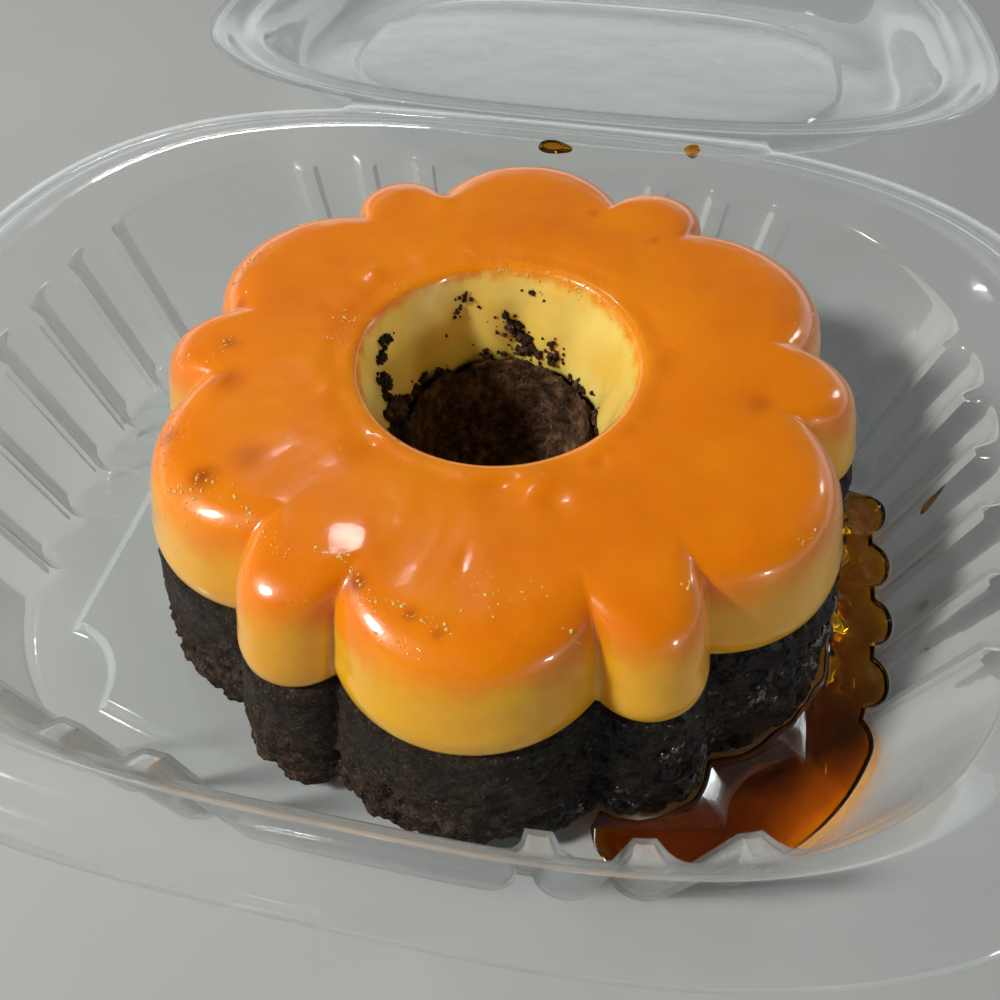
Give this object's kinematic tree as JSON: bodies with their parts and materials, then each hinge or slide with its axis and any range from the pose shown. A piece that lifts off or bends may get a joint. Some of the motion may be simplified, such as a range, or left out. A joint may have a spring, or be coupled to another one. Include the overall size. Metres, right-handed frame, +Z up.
{
  "type": "chocoflan in a clear hinged box",
  "caption": "Individual chocoflan: a lobed ring of caramel-glazed flan on chocolate cake, standing in a clear hinged box that is open.",
  "frame": {"origin": "on the table, in the middle of the open box's footprint, just in front of the hinge", "axes": "+Z up, +Y from the tray towards the open lid, +X to the right as seen from the tray's free edge"},
  "size_m": [0.182, 0.291, 0.0384],
  "materials": {
    "clear_plastic": "clear and glossy",
    "chocolate_cake": "moist dark crumb",
    "flan_custard": "smooth custard under a wet caramel glaze",
    "caramel": "clear amber syrup"
  },
  "bodies": {
    "base": {"tray": "clear_plastic", "cake": "chocolate_cake", "flan": "flan_custard", "caramel_pool": "caramel"},
    "lid": {"lid": "clear_plastic"}
  },
  "joints": [
    {"name": "lid_hinge", "type": "hinge", "parent": "base", "child": "lid", "pos_m": [0, 0.00058, 0.0297], "axis": [1, 0, 0], "range_deg": [0, 187.2]}
  ]
}
